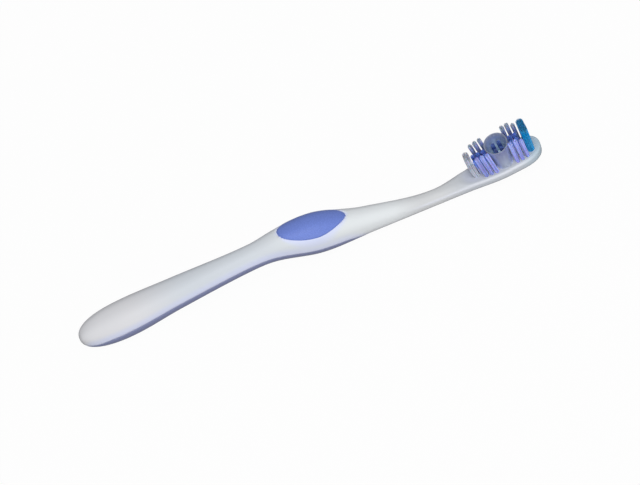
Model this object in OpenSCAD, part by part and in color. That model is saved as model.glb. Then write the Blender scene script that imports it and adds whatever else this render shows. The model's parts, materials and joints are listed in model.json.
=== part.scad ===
/* [Handle] */
// Length of the whole brush, from the butt to the toe of the head
brush_l = 190; // [180:1:205]
// Distance from the butt to the fullest part of the handle's end
butt_x = 20; // [14:1:28]
// Width of the handle's end
butt_w = 15.2; // [12:0.5:19]
// Thickness of the handle's end
butt_t = 12; // [9:0.2:15]
// How far the middle of the butt's tip droops below the handle's end
butt_droop = 1.3; // [0:0.1:2]
// Distance from the butt to the flank, halfway to the waist
flank_x = 40; // [34:1:46]
// Width of the flank
flank_w = 12.7; // [11:0.1:14]
// Thickness of the flank
flank_t = 10.4; // [9.4:0.1:11.4]
// How far the flank's middle rises over the handle's end
flank_rise = 2; // [1:0.1:3]
// Distance from the butt to the waist
waist_x = 72; // [60:1:78]
// Width of the waist
waist_w = 9.3; // [8:0.5:12]
// Thickness of the waist
waist_t = 8.9; // [8:0.1:10]
// How far the waist's middle rises over the handle's end
waist_rise = 4.4; // [2:0.1:6]
// Distance from the butt to the crest of the handle's arch
arch_x = 81; // [79:1:86]
// How far the arch's middle rises over the handle's end
arch_rise = 5.1; // [3:0.1:7]
// Distance from the butt to the middle of the thumb swell
thumb_x = 98; // [94:1:104]
// Width of the thumb swell
thumb_w = 14.6; // [13:0.2:18]
// Thickness of the thumb swell
thumb_t = 14.6; // [13:0.2:17]
// How far the thumb swell's middle rises over the handle's end
thumb_rise = 3.3; // [2:0.1:5]
// Distance from the toe back to the narrowest part of the neck
neck_back = 44; // [40:1:50]
// Width of the neck
neck_w = 6.2; // [5:0.2:8]
// Thickness of the neck
neck_t = 5.4; // [5:0.2:7]

/* [Head] */
// Distance from the polishing cup's middle to the toe
toe_reach = 15.2; // [14.6:0.2:17]
// Length of the toe's rounded end
toe_nose = 9; // [7:0.5:11]
// Width of the head
head_w = 13.6; // [13:0.2:15.4]
// Thickness of the head below its tufted face
head_t = 5; // [4.6:0.1:6]
// Slope of the head's tufted face, in degrees
head_tilt = 8; // [5:0.5:11]
// Height of the middle of the tufted face above the surface that the brush lies on
head_z = 7.8; // [7:0.1:9.5]
// Length of the tufted face behind the cup's middle
heel_run = 13.5; // [13.3:0.1:14.4]
// Radius of the hollow that leads from the neck down to the tufted face
scoop_r = 12; // [8:0.5:16]

/* [Grips] */
// Length of the thumb pad
pad_l = 26.8; // [22:0.2:30]
// How far the thumb pad wraps down each side from the crown, in degrees
pad_wrap = 65; // [50:1:75]
// Thickness of the thumb pad below the handle's surface
pad_depth = 1.6; // [1.2:0.1:2.2]
// How far the crown of the thumb pad stands above the handle's surface
pad_proud = 0.3; // [0.2:0.1:0.8]
// Diameter of the stem that joins the thumb pad to the back grip
stem_d = 3.2; // [2:0.2:4]
// Thickness of the back grip
grip_depth = 1.4; // [1:0.1:2]
// Distance from the butt to the start of the back grip
grip_start = 3; // [2.5:0.5:5]
// Distance from the butt to the rounded end of the back grip
grip_end = 118; // [112:1:122]
// Clearance between a moulded grip, cup or tuft root and its recess
mould_gap = 0.04; // [0.02:0.01:0.06]

/* [Tufts] */
// Spacing of the tufts along the head
pitch = 2.1; // [2:0.05:2.25]
// Diameter of a tuft in the two outer rows
outer_d = 1.7; // [1.4:0.05:1.8]
// Height of the outer tufts above the face
outer_h = 11.3; // [10:0.1:13]
// Plastic left between the inner tufts and the broad tuft at the heel
heel_web = 0.25; // [0.15:0.05:0.35]
// Plastic left between the inner tufts and the broad tuft at the toe
toe_web = 0.7; // [0.5:0.05:0.8]
// Plastic left between the outer tufts and the head's edge
edge_wall = 1; // [0.8:0.1:1.2]
// Diameter of a tuft in the two inner rows
inner_d = 1.85; // [1.5:0.05:1.9]
// How much lower the outer tufts nearest to the toe end
toe_step = 1.4; // [0:0.1:2]
// Height of the inner tufts above the face
inner_h = 8.2; // [7:0.1:10]
// Distance between the two inner rows
inner_row = 2.7; // [2.4:0.1:3]
// Lean of the heel group toward the handle, in degrees
heel_lean = 3.5; // [0:0.5:5]
// Lean of the toe group toward the toe, in degrees
toe_lean = 1.5; // [0:0.5:3]
// Distance from the cup's rim to the middle outer tufts of the heel group
heel_gap = 1.55; // [1.4:0.05:1.8]
// Distance from the cup's rim to the middle outer tufts of the toe group
toe_gap = 1.85; // [1.75:0.05:2.05]
// Length along the head of the broad heel tuft
heel_tuft_l = 2.3; // [1.8:0.1:2.4]
// Width across the head of the broad heel tuft
heel_tuft_w = 5; // [4:0.1:5.6]
// Height of the broad heel tuft
heel_tuft_h = 11.4; // [9:0.1:13]
// Lean of the broad heel tuft toward the handle, in degrees
heel_tuft_lean = 1.5; // [0:0.5:5]
// Length along the head of the broad toe tuft
toe_tuft_l = 3; // [2.2:0.1:3.1]
// Width across the head of the broad toe tuft
toe_tuft_w = 8; // [6:0.1:8.2]
// Height of the broad toe tuft
toe_tuft_h = 11.9; // [9:0.1:13]
// Lean of the broad toe tuft toward the toe, in degrees
toe_tuft_lean = 5; // [3:0.5:8]
// Depth of the tuft holes
hole_depth = 3; // [2.6:0.1:3.4]
// Half the thickness of one bristle strand, corner to corner
strand_r = 0.13; // [0.1:0.01:0.15]
// Length of a strand's pointed end
point_l = 0.9; // [0.4:0.1:1.6]
// How much lower the outermost strands of a tuft end than its middle one
dome_drop = 0.9; // [0:0.1:1.5]

/* [Polishing cup] */
// Length of the cup at its rim, along the head
cup_rim_l = 9.6; // [8.8:0.1:10.2]
// Width of the cup at its rim, across the head
cup_rim_w = 11.2; // [10.4:0.1:11.8]
// Length of the cup at its base
cup_base_l = 6.9; // [6.4:0.1:7.4]
// Width of the cup at its base
cup_base_w = 10.4; // [9.4:0.1:10.8]
// Height of the cup above the tufted face
cup_h = 9.4; // [8:0.1:10.5]
// Thickness of the cup's wall at its base
cup_wall = 0.8; // [0.6:0.05:1]
// Thickness of the cup's lip
cup_lip = 0.5; // [0.4:0.05:0.7]
// Thickness of the cup's floor above the tufted face
cup_floor = 0.6; // [0.4:0.1:1]
// How far the cup's foot is let into the head
foot_depth = 0.8; // [0.6:0.1:1.2]
// How far the foot stands out round the cup's base
foot_flange = 0.25; // [0.2:0.05:0.35]
// Diameter of the two pegs that hold the cup in the head
peg_d = 1.4; // [1.1:0.1:1.6]
// Length of the pegs below the foot
peg_l = 1.6; // [1:0.1:2]
// Diameter of a tuft inside the cup
cup_tuft_d = 1.8; // [1.4:0.05:1.85]
// Height of the tufts inside the cup above the face
cup_tuft_h = 8.2; // [6:0.1:9]

/* [Anchors] */
// Thickness of the metal plates that hold the tufts
anchor_t = 0.3; // [0.2:0.05:0.4]
// Height of the metal plates
anchor_h = 1.2; // [0.8:0.1:1.4]

/* [Hidden] */
$fn = 48;
overrun = 1;

// Depth of the flat that the handle's end rests on
land_cut = 0.2;
// Depth of the flat under the neck
neck_cut = 0.05;

// Places along the brush
neck_x = brush_l - neck_back;
head_x = brush_l - toe_reach;
toe_x = brush_l - toe_nose;
throat_share = 0.43;
throat_x = thumb_x + (neck_x - thumb_x) * throat_share;
throat_fall_share = 0.56;
heel_share = 0.43;
heel_x = neck_x + (head_x - neck_x) * heel_share;
heel_fill_share = 0.36;
heel_climb_share = 0.37;

// Fullness of the sections: 2 is an ellipse and more is squarer
handle_top_n = 2.4;
handle_under_n = 2.6;
head_top_n = 4;
butt_nose_n = 2.35;
toe_nose_n = 2.2;
toe_edge_n = 5;

// The head's section reaches over its flat face by this share of its half thickness
head_over_share = 0.3;
head_half_t = head_t / (2 - head_over_share);

function mix(a, b, share) = a + (b - a) * share;

// A smooth curve through keys of place and value, with no overshoot between them
function secant(keys, i) = (keys[i + 1][1] - keys[i][1]) / (keys[i + 1][0] - keys[i][0]);
function key_slope(keys, i) =
    i == 0 ? secant(keys, 0) :
    i == len(keys) - 1 ? secant(keys, i - 1) :
    secant(keys, i - 1) * secant(keys, i) <= 0 ? 0 :
    2 * secant(keys, i - 1) * secant(keys, i) / (secant(keys, i - 1) + secant(keys, i));
function key_before(keys, x) = max([for (k = [0 : len(keys) - 2]) x >= keys[k][0] ? k : 0]);
function curve(keys, x) =
    let (
        i = key_before(keys, x),
        run = keys[i + 1][0] - keys[i][0],
        t = (x - keys[i][0]) / run
    )
    keys[i][1] * (1 - t) * (1 - t) * (1 + 2 * t)
    + keys[i + 1][1] * t * t * (3 - 2 * t)
    + key_slope(keys, i) * run * t * (1 - t) * (1 - t)
    - key_slope(keys, i + 1) * run * t * t * (1 - t);

// Width and thickness of the section along the brush, before its rounded ends
width_keys = [
    [0, butt_w],
    [butt_x, butt_w],
    [flank_x, flank_w],
    [waist_x, waist_w],
    [thumb_x, thumb_w],
    [throat_x, mix(thumb_w, neck_w, throat_fall_share)],
    [neck_x, neck_w],
    [heel_x, mix(neck_w, head_w, heel_fill_share)],
    [head_x, head_w],
    [brush_l, head_w]
];
thick_keys = [
    [0, butt_t],
    [butt_x, butt_t],
    [flank_x, flank_t],
    [waist_x, waist_t],
    [thumb_x, thumb_t],
    [throat_x, mix(thumb_t, neck_t, throat_fall_share)],
    [neck_x, neck_t],
    [head_x, 2 * head_half_t],
    [brush_l, 2 * head_half_t]
];

// Rounding of the butt and the toe, from 1 down to 0 at the tip
function nose(u, n) = u <= 0 ? 1 : u >= 1 ? 0 : pow(1 - pow(u, n), 1 / n);
function butt_round(x) = nose((butt_x - x) / butt_x, butt_nose_n);
function half_w(x) = curve(width_keys, x) / 2 * butt_round(x) * nose((x - toe_x) / toe_nose, toe_nose_n);
function half_t(x) = curve(thick_keys, x) / 2 * butt_round(x) * nose((x - toe_x) / toe_nose, toe_edge_n);

// Height of the section's middle: the handle's end and the neck both reach the surface below
butt_line = [[0, -butt_droop], [butt_x, 0], [flank_x, flank_rise], [waist_x, waist_rise]];
butt_probes = 20;
butt_probe = [for (k = [1 : butt_probes]) 2 * butt_x * k / butt_probes];
butt_low = min([for (x = butt_probe) curve(butt_line, x) - half_t(x)]);
butt_z = -butt_low - land_cut;
neck_z = neck_t / 2 - neck_cut;
face_drop = head_half_t * (1 - head_over_share);
toe_lift = toe_reach * tan(head_tilt);
toe_lift_share = 0.9;
mid_keys = [
    [0, butt_z - butt_droop],
    [butt_x, butt_z],
    [flank_x, butt_z + flank_rise],
    [waist_x, butt_z + waist_rise],
    [arch_x, butt_z + arch_rise],
    [thumb_x, butt_z + thumb_rise],
    [throat_x, mix(butt_z + thumb_rise, neck_z, throat_fall_share)],
    [neck_x, neck_z],
    [heel_x, mix(neck_z, head_z - face_drop, heel_climb_share)],
    [head_x, head_z - face_drop],
    [brush_l, head_z - face_drop + toe_lift * toe_lift_share]
];
function mid(x) = curve(mid_keys, x);

// A point on the brush's surface, or sunk below it: the angle runs from +Y over the top
function bulge(v, n) = sign(v) * pow(abs(v), 2 / n);
top_keys = [[0, handle_top_n], [neck_x, handle_top_n], [head_x, head_top_n], [brush_l, head_top_n]];
function fullness(x, angle) = sin(angle) < 0 ? handle_under_n : curve(top_keys, x);
function skin_point(x, angle, sink) =
    let (n = fullness(x, angle))
    [
        x,
        (half_w(x) - sink) * bulge(cos(angle), n),
        mid(x) + (half_t(x) - sink) * bulge(sin(angle), n)
    ];

// Sections along the brush, closer together at both ends
ring_n = 24;
butt_rings = 8;
long_rings = 40;
toe_rings = 8;
stations = concat(
    [for (k = [1 : butt_rings]) butt_x * (1 - cos(90 * k / butt_rings))],
    [for (k = [1 : long_rings]) mix(butt_x, toe_x, k / long_rings)],
    [for (k = [1 : toe_rings - 1]) toe_x + toe_nose * sin(90 * k / toe_rings)]
);

// Faces of a skin round a stack of rings, with a fan at each end
function skin_faces(rings, sides) =
    let (first = rings * sides, last = first + 1)
    concat(
        [for (k = [0 : sides - 1]) [first, k, (k + 1) % sides]],
        [for (i = [0 : rings - 2]) for (k = [0 : sides - 1])
            [i * sides + k, (i + 1) * sides + k, (i + 1) * sides + (k + 1) % sides]],
        [for (i = [0 : rings - 2]) for (k = [0 : sides - 1])
            [i * sides + k, (i + 1) * sides + (k + 1) % sides, i * sides + (k + 1) % sides]],
        [for (k = [0 : sides - 1])
            [last, (rings - 1) * sides + (k + 1) % sides, (rings - 1) * sides + k]]
    );

// Faces of a curved slab: a grid of outer points followed by the same grid of inner points
function slab_faces(rows, cols) =
    let (inner = rows * cols)
    concat(
        [for (i = [0 : rows - 2]) for (j = [0 : cols - 2]) for (half = [0, 1])
            half == 0
                ? [i * cols + j, (i + 1) * cols + j, (i + 1) * cols + j + 1]
                : [i * cols + j, (i + 1) * cols + j + 1, i * cols + j + 1]],
        [for (i = [0 : rows - 2]) for (j = [0 : cols - 2]) for (half = [0, 1])
            half == 0
                ? [inner + i * cols + j, inner + (i + 1) * cols + j + 1, inner + (i + 1) * cols + j]
                : [inner + i * cols + j, inner + i * cols + j + 1, inner + (i + 1) * cols + j + 1]],
        [for (i = [0 : rows - 2]) for (side = [0, 1]) for (half = [0, 1])
            let (
                a = i * cols + side * (cols - 1),
                b = a + cols,
                edge = half == 0 ? [a, inner + a, inner + b] : [a, inner + b, b]
            )
            side == 0 ? edge : [edge[0], edge[2], edge[1]]],
        [for (j = [0 : cols - 2]) for (end = [0, 1]) for (half = [0, 1])
            let (
                a = end * (rows - 1) * cols + j,
                b = a + 1,
                edge = half == 0 ? [a, inner + b, inner + a] : [a, b, inner + b]
            )
            end == 0 ? edge : [edge[0], edge[2], edge[1]]]
    );

// The brush in its own length is laid with its middle over the origin
module laid() {
    translate([-brush_l / 2, 0, 0]) children();
}

// Below the surface that the brush rests on
module ground() {
    translate([-overrun, -butt_w, -butt_t]) cube([brush_l + 2 * overrun, 2 * butt_w, butt_t]);
}

// The head's own frame: its origin is the middle of the tufted face, under the cup
module in_head() {
    translate([head_x, 0, head_z]) rotate([0, -head_tilt, 0]) children();
}

// Space above the tufted face, with the hollow that leads down from the neck
module over_face() {
    in_head() {
        translate([-heel_run, -head_w, 0]) cube([heel_run + 2 * toe_reach, 2 * head_w, head_w]);
        translate([-heel_run, 0, scoop_r]) rotate([90, 0, 0])
            cylinder(h = 2 * head_w, r = scoop_r, center = true, $fn = 96);
    }
}

// Thumb pad: an oval that wraps over the crown of the thumb swell
pad_rows = 17;
pad_cols = 13;
pad_tip_share = 0.992;
pad_edge_share = 0.3;
function pad_x(i, grow) =
    thumb_x - (pad_l / 2 + grow) * pad_tip_share * cos(180 * i / (pad_rows - 1));
function pad_half_angle(i, grow) =
    let (u = pad_tip_share * cos(180 * i / (pad_rows - 1)))
    asin(sin(pad_wrap) * pow(1 - u * u, handle_top_n / 4)) + grow * 360 / (PI * thumb_w);
function pad_rise(i, j) =
    let (
        u = pad_tip_share * cos(180 * i / (pad_rows - 1)),
        v = 2 * j / (pad_cols - 1) - 1
    )
    pad_proud * mix(pad_edge_share, 1, (1 - u * u) * (1 - v * v));
function pad_angle(i, j, grow) = 90 + pad_half_angle(i, grow) * (2 * j / (pad_cols - 1) - 1);

module thumb_patch(sink, grow, cutter) {
    outer = [for (i = [0 : pad_rows - 1]) for (j = [0 : pad_cols - 1])
        skin_point(pad_x(i, grow), pad_angle(i, j, grow), cutter ? -overrun : -pad_rise(i, j))];
    inner = [for (i = [0 : pad_rows - 1]) for (j = [0 : pad_cols - 1])
        skin_point(pad_x(i, grow), pad_angle(i, j, grow), sink)];
    polyhedron(points = concat(outer, inner), faces = slab_faces(pad_rows, pad_cols));
}

// Back grip: it covers the under half of the handle and ends in a tongue below the thumb pad. Its edge
// drops from the middle of each side, at 0 degrees, to the tongue's edge
grip_cols = 13;
tongue_edge = 20;
tongue_start_share = 0.9;
tongue_start_x = mix(butt_x, waist_x, tongue_start_share);
tongue_end_l = 12;
tongue_tip_share = 0.985;
tongue_rings = 6;
grip_edge_keys = [
    [0, 0],
    [tongue_start_x, 0],
    [thumb_x, tongue_edge],
    [grip_end, tongue_edge]
];
function tongue_point(x) = nose((x - grip_end + tongue_end_l) / tongue_end_l * tongue_tip_share, 2);
function grip_edge(x) = 90 - (90 - curve(grip_edge_keys, x)) * tongue_point(x);
grip_stations = concat(
    [grip_start],
    [for (x = stations) if (x > grip_start + overrun / 2 && x < grip_end - tongue_end_l) x],
    [for (k = [0 : tongue_rings]) grip_end - tongue_end_l * cos(90 * k / tongue_rings)]
);
grip_wall_share = 0.42;
function grip_sink(x) = min(grip_depth, grip_wall_share * half_t(x));
function grip_angle(x, j, grow) =
    let (edge = grip_edge(x) - grow * 360 / (PI * butt_w))
    180 + edge + (180 - 2 * edge) * j / (grip_cols - 1);

module grip_patch(grow, cutter) {
    rows = len(grip_stations);
    places = [for (i = [0 : rows - 1])
        grip_stations[i] + (i == 0 ? -grow : i == rows - 1 ? grow : 0)];
    outer = [for (i = [0 : rows - 1]) for (j = [0 : grip_cols - 1])
        skin_point(places[i], grip_angle(grip_stations[i], j, grow), cutter ? -overrun : 0)];
    inner = [for (i = [0 : rows - 1]) for (j = [0 : grip_cols - 1])
        skin_point(places[i], grip_angle(grip_stations[i], j, grow), grip_sink(places[i]) + grow)];
    polyhedron(points = concat(outer, inner), faces = slab_faces(rows, grip_cols));
}

// Stem of soft plastic between the two grips, through the handle
module stem(grow) {
    low = mid(thumb_x) - half_t(thumb_x) + grip_depth + mould_gap - grow;
    high = mid(thumb_x) + half_t(thumb_x) - pad_depth / 2;
    translate([thumb_x, 0, low]) cylinder(h = high - low, d = stem_d + 2 * grow);
}

// Places of the tufts in the head's frame: name, kind, along, across and lean. The inner tufts stand
// half a pitch aside from the outer ones
heel_column = cup_rim_l / 2 + heel_gap;
toe_column = cup_rim_l / 2 + toe_gap;
function row_y(along) = half_w(head_x + along) - edge_wall - outer_d / 2;
// A broad tuft that leans more than its neighbours swings its hole's bottom toward them
heel_tuft_sweep = hole_depth * max(0, tan(heel_tuft_lean) - tan(heel_lean));
heel_tuft_x = -(heel_column + 3 / 2 * pitch + inner_d / 2 + heel_web + heel_tuft_sweep + heel_tuft_l / 2);
toe_tuft_sweep = hole_depth * max(0, tan(toe_tuft_lean) - tan(toe_lean));
toe_tuft_x = toe_column + pitch / 2 + inner_d / 2 + toe_web + toe_tuft_sweep + toe_tuft_l / 2;
cup_tuft_shares = [0.47, 0.39];
cup_tuft_x = (cup_base_l / 2 - cup_wall) * cup_tuft_shares[0];
cup_tuft_y = (cup_base_w / 2 - cup_wall) * cup_tuft_shares[1];
sides = [["near", -1], ["far", 1]];
tufts = concat(
    [for (side = sides) for (k = [0 : 2])
        let (along = -(heel_column + (k - 1) * pitch))
        [str("tuft_outer_heel_", side[0], "_", k + 1), "outer",
            along, side[1] * row_y(along), -heel_lean]],
    [for (side = sides) for (k = [0 : 2])
        let (along = toe_column + (k - 1) * pitch)
        [str("tuft_outer_toe_", side[0], "_", k + 1), k < 2 ? "outer" : "outer_low",
            along, side[1] * row_y(along), toe_lean]],
    [for (side = sides) for (k = [0 : 2])
        [str("tuft_inner_heel_", side[0], "_", k + 1), "inner",
            -(heel_column + (k - 1 / 2) * pitch), side[1] * inner_row / 2, -heel_lean]],
    [for (side = sides) for (k = [0 : 1])
        [str("tuft_inner_toe_", side[0], "_", k + 1), "inner",
            toe_column + (k - 1 / 2) * pitch, side[1] * inner_row / 2, toe_lean]],
    [for (side = sides) for (k = [0 : 1])
        [str("tuft_cup_", side[0], "_", k + 1), "cup",
            (2 * k - 1) * cup_tuft_x, side[1] * cup_tuft_y, 0]],
    [["tuft_heel", "heel", heel_tuft_x, 0, -heel_tuft_lean]],
    [["tuft_toe", "toe", toe_tuft_x, 0, toe_tuft_lean]]
);

// Size of each kind of tuft: along, across and height
function tuft_size(kind) =
    kind == "outer" ? [outer_d, outer_d, outer_h] :
    kind == "outer_low" ? [outer_d, outer_d, outer_h - toe_step] :
    kind == "inner" ? [inner_d, inner_d, inner_h] :
    kind == "cup" ? [cup_tuft_d, cup_tuft_d, cup_tuft_h] :
    kind == "heel" ? [heel_tuft_l, heel_tuft_w, heel_tuft_h] :
    [toe_tuft_l, toe_tuft_w, toe_tuft_h];

module at_tuft(tuft) {
    in_head() translate([tuft[2], tuft[3], 0]) rotate([0, tuft[4], 0]) children();
}

// A round or long hole's shape, standing between two heights
module root_shape(size, low, high) {
    reach = (size[1] - size[0]) / 2;
    if (reach > 0) {
        for (side = [-1, 1]) translate([0, side * reach, low]) cylinder(h = high - low, d = size[0]);
        translate([-size[0] / 2, -reach, low]) cube([size[0], 2 * reach, high - low]);
    } else {
        translate([0, 0, low]) cylinder(h = high - low, d = size[0]);
    }
}

// Places of the strands in a tuft and how far out each lies, from 0 in the middle to 1
row_bow_share = 0.8;
function ring_places(radius, count, turn) =
    [for (k = [0 : count - 1])
        let (angle = 360 * k / count + turn)
        [radius * cos(angle), radius * sin(angle)]];
function strand_places(size) =
    let (
        room = size[0] / 2 - strand_r - mould_gap * 2,
        reach = (size[1] - size[0]) / 2,
        rows = round(size[0] / (4.6 * strand_r)),
        across = ceil(size[1] / (3.8 * strand_r))
    )
    reach > 0
        ? [for (k = [0 : rows - 1]) for (j = [0 : across - 1])
            let (
                i = 2 * k / (rows - 1) - 1,
                row_reach = reach + room * sqrt(1 - pow(i * row_bow_share, 2))
            )
            [room * i, row_reach * (2 * j / (across - 1) - 1)]]
        : concat([[0, 0]], ring_places(room / 2, 4, 0), ring_places(room, 9, 20));

// One four-sided strand with a pointed end
module strand(place, low, high) {
    corners = ring_places(strand_r, 4, 45);
    base = [for (p = corners) [place[0] + p[0], place[1] + p[1]]];
    polyhedron(
        points = concat(
            [for (p = base) [p[0], p[1], low]],
            [for (p = base) [p[0], p[1], high - point_l]],
            [[place[0], place[1], high]]
        ),
        faces = concat(
            [[0, 1, 2], [0, 2, 3]],
            [for (k = [0 : 3]) [k, k + 4, (k + 1) % 4]],
            [for (k = [0 : 3]) [(k + 1) % 4, k + 4, (k + 1) % 4 + 4]],
            [for (k = [0 : 3]) [k + 4, 8, (k + 1) % 4 + 4]]
        )
    );
}

root_low = -hole_depth + anchor_h + 2 * mould_gap;
root_high = -mould_gap;

module tuft(spec, tint) {
    size = tuft_size(spec[1]);
    color(tint) laid() at_tuft(spec) {
        root_shape([size[0] - 2 * mould_gap, size[1] - 2 * mould_gap], root_low, root_high);
        for (place = strand_places(size)) {
            out_share = norm([place[0] / size[0], place[1] / size[1]]) * 2;
            strand(place, root_low / 2, size[2] - dome_drop * pow(out_share, 2));
        }
    }
}

module tuft_holes() {
    for (spec = tufts) at_tuft(spec) root_shape(tuft_size(spec[1]), -hole_depth, overrun);
}

// Outline of the cup and its foot
cup_sides = 32;
function oval(l, w) = [for (p = ring_places(1 / 2, cup_sides, 0)) [l * p[0], w * p[1]]];
module foot_shape(grow, low, high) {
    spread = 2 * foot_flange + 2 * grow;
    translate([0, 0, low]) linear_extrude(high - low)
        polygon(oval(cup_base_l + spread, cup_base_w + spread));
}
peg_y = cup_base_w / 2 - cup_wall - peg_d / 2;
module pegs(grow) {
    for (side = [-1, 1])
        translate([0, side * peg_y, -foot_depth - peg_l - grow])
            cylinder(h = peg_l + grow + foot_depth / 2, d = peg_d + 2 * grow);
}

// The cup's wall flares in a curve from its base to its rim
cup_levels = 5;
function cup_ring(share, inset) =
    let (
        ring_l = mix(cup_base_l, cup_rim_l, share * share) - 2 * inset,
        ring_w = mix(cup_base_w, cup_rim_w, share * share) - 2 * inset
    )
    [for (p = oval(ring_l, ring_w)) [p[0], p[1], cup_h * share]];
function at_height(ring, z) = [for (p = ring) [p[0], p[1], z]];
module cup_wall_skin() {
    outside = [for (k = [0 : cup_levels]) cup_ring(k / cup_levels, 0)];
    inside = [for (k = [cup_levels : -1 : 1])
        cup_ring(k / cup_levels, mix(cup_wall, cup_lip, k / cup_levels))];
    rings = concat(
        [at_height(outside[0], -foot_depth / 2)],
        outside,
        inside,
        [at_height(cup_ring(0, cup_wall), cup_floor)]
    );
    points = concat(
        [for (ring = rings) for (p = ring) p],
        [[0, 0, -foot_depth / 2], [0, 0, cup_floor]]
    );
    polyhedron(points = points, faces = skin_faces(len(rings), cup_sides));
}

module handle_body() {
    color("gainsboro") laid() difference() {
        polyhedron(
            points = concat(
                [for (x = stations) for (k = [0 : ring_n - 1]) skin_point(x, 360 * k / ring_n, 0)],
                [[0, 0, mid(0)], [brush_l, 0, mid(brush_l)]]
            ),
            faces = skin_faces(len(stations), ring_n)
        );
        over_face();
        ground();
        thumb_patch(pad_depth + mould_gap, mould_gap, true);
        grip_patch(mould_gap, true);
        stem(mould_gap);
        tuft_holes();
        in_head() foot_shape(mould_gap, -foot_depth - mould_gap, overrun);
        in_head() pegs(mould_gap);
    }
}

module thumb_pad() {
    color("mediumslateblue") laid() {
        thumb_patch(pad_depth, 0, false);
        stem(0);
    }
}

module back_grip() {
    color("slateblue") laid() difference() {
        grip_patch(0, false);
        ground();
    }
}

module polishing_cup() {
    color("lavender") laid() in_head() difference() {
        union() {
            foot_shape(0, -foot_depth, 0);
            cup_wall_skin();
            pegs(0);
        }
        for (spec = tufts)
            if (spec[1] == "cup")
                translate([spec[2], spec[3], 0])
                    root_shape([cup_tuft_d, cup_tuft_d], -foot_depth - overrun, cup_floor + overrun);
    }
}

// Metal plates, one at the bottom of each round hole and two in the long ones
module tuft_anchors() {
    color("goldenrod") laid() for (spec = tufts) {
        size = tuft_size(spec[1]);
        reach = (size[1] - size[0]) / 2;
        plate_l = size[0] - 4 * mould_gap;
        at_tuft(spec) for (side = reach > 0 ? [-1, 1] : [0])
            translate([-plate_l / 2, side * reach - anchor_t / 2, -hole_depth + mould_gap])
                cube([plate_l, anchor_t, anchor_h]);
    }
}

function tint_of(kind) =
    kind == "outer" || kind == "outer_low" ? "lightsteelblue" :
    kind == "inner" || kind == "cup" ? "midnightblue" :
    kind == "heel" ? "whitesmoke" :
    "dodgerblue";

handle_body();
thumb_pad();
back_grip();
polishing_cup();
tuft_anchors();
for (spec = tufts) tuft(spec, tint_of(spec[1]));
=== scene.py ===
import bpy
import json
import math
import random
from mathutils import Matrix, Vector

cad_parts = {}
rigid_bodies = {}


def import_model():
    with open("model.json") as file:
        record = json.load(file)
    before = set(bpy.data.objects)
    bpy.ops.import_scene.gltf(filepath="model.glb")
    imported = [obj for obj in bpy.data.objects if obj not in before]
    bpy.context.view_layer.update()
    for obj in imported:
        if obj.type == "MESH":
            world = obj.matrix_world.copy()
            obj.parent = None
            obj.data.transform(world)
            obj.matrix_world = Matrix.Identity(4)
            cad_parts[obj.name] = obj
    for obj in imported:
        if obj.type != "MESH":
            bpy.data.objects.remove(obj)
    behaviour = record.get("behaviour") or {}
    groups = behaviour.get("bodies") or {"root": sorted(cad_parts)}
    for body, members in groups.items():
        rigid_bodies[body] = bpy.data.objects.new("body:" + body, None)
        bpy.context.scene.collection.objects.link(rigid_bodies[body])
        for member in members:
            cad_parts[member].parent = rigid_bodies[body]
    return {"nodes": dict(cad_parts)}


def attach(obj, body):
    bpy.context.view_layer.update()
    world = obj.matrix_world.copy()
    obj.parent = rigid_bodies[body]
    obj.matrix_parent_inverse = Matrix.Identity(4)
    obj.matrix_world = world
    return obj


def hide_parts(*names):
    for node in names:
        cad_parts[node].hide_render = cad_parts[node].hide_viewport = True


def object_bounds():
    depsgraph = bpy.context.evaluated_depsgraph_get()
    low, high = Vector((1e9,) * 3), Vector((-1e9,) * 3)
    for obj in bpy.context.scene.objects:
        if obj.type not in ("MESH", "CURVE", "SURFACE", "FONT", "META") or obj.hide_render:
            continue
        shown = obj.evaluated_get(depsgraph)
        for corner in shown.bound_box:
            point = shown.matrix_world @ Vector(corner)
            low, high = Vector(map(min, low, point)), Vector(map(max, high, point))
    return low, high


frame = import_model()
cadBox = [list(corner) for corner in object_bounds()]
mm = 0.001
print("frame loaded:", len(frame["nodes"]), "CAD nodes")


# Mesh helpers

meshing = {
    "seamGap": 0.001 * mm,    # points nearer than this become one
    "sharpAngle": 60,         # edges turned by more degrees stay crisp
}


def clamp(value):
    return min(max(value, 0), 1)


def smoothStep(low, high, value):
    t = clamp((value - low) / (high - low))
    return t * t * (3 - 2 * t)


def editPiece(piece):  # edit mode on one piece, with nothing selected in its mesh
    if bpy.context.object and bpy.context.object.mode != "OBJECT":
        bpy.ops.object.mode_set(mode="OBJECT")
    selectPiece(piece)
    bpy.ops.object.mode_set(mode="EDIT")
    bpy.ops.mesh.select_all(action="DESELECT")


def leaveEdit():
    bpy.ops.object.mode_set(mode="OBJECT")


def selectPiece(piece):
    bpy.ops.object.select_all(action="DESELECT")
    bpy.context.view_layer.objects.active = piece
    piece.select_set(True)


def namePiece(piece, name):
    piece.name = name
    piece.data.name = name
    return piece


def applyModifier(piece, kind, **values):
    selectPiece(piece)
    modifier = piece.modifiers.new(kind.lower(), kind)
    for key, value in values.items():
        setattr(modifier, key, value)
    bpy.ops.object.modifier_apply(modifier=modifier.name)


def smoothPiece(piece, angle=meshing["sharpAngle"]):
    selectPiece(piece)
    bpy.ops.object.shade_smooth_by_angle(angle=math.radians(angle))


def closeSeam(piece, gap=meshing["seamGap"]):  # joins edges that meet, turns the faces outwards
    editPiece(piece)
    bpy.ops.mesh.select_all(action="SELECT")
    bpy.ops.mesh.remove_doubles(threshold=gap)
    bpy.ops.mesh.normals_make_consistent(inside=False)
    leaveEdit()


def markVertices(piece, name, values):  # one number a vertex, which a material can read
    mark = piece.data.attributes.new(name, "FLOAT", "POINT")
    mark.data.foreach_set("value", values)


def toPiece(piece, material, slotName, *nodes):
    piece.data.materials.clear()
    piece.data.materials.append(material)
    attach(piece, "root")
    if nodes:
        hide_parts(*nodes)


# Section of the brush, told by the distance from its butt

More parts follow.
